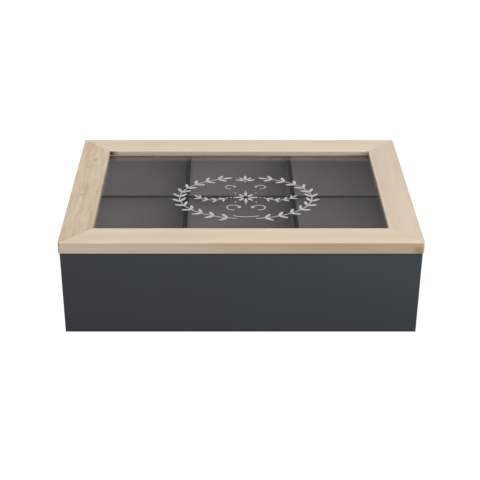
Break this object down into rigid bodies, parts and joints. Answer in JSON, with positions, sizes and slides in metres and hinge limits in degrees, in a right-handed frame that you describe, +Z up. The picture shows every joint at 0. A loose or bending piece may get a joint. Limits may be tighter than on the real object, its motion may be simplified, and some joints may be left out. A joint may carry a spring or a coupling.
{
  "type": "tea bag organizer box",
  "caption": "Painted compartment box for tea bags with a glazed, mitred timber lid on two butt hinges.",
  "frame": {"origin": "centre of the base panel's underside, where the box rests", "axes": "+X to the right along the width, +Y from the front to the hinged rear, +Z up"},
  "size_m": [0.24, 0.1701, 0.069],
  "materials": {
    "body_paint": "satin dark grey paint on fibreboard",
    "divider_paint": "matt grey paint on fibreboard",
    "lid_timber": "sanded pale softwood with a matt clear finish",
    "lid_glass": "clear float glass",
    "hinge_steel": "nickel-plated pressed steel",
    "fastener_steel": "zinc-plated steel"
  },
  "bodies": {
    "body": {"front_wall": "body_paint", "rear_wall": "body_paint", "left_wall": "body_paint", "right_wall": "body_paint", "base_panel": "body_paint", "long_divider": "divider_paint", "cross_divider_left": "divider_paint", "cross_divider_right": "divider_paint", "hinge_body_leaf_left": "hinge_steel", "hinge_body_leaf_right": "hinge_steel", "hinge_pin_left": "hinge_steel", "hinge_pin_right": "hinge_steel", "body_leaf_screws": "fastener_steel"},
    "lid": {"lid_front_rail": "lid_timber", "lid_rear_rail": "lid_timber", "lid_left_rail": "lid_timber", "lid_right_rail": "lid_timber", "glass_pane": "lid_glass", "glazing_points": "fastener_steel", "corner_fasteners": "fastener_steel", "hinge_lid_leaf_left": "hinge_steel", "hinge_lid_leaf_right": "hinge_steel", "lid_leaf_screws": "fastener_steel"}
  },
  "joints": [
    {"name": "lid_hinge", "type": "hinge", "parent": "body", "child": "lid", "pos_m": [0, 0.08405, 0.06085], "axis": [-1, 0, 0], "range_deg": [0, 110]}
  ]
}
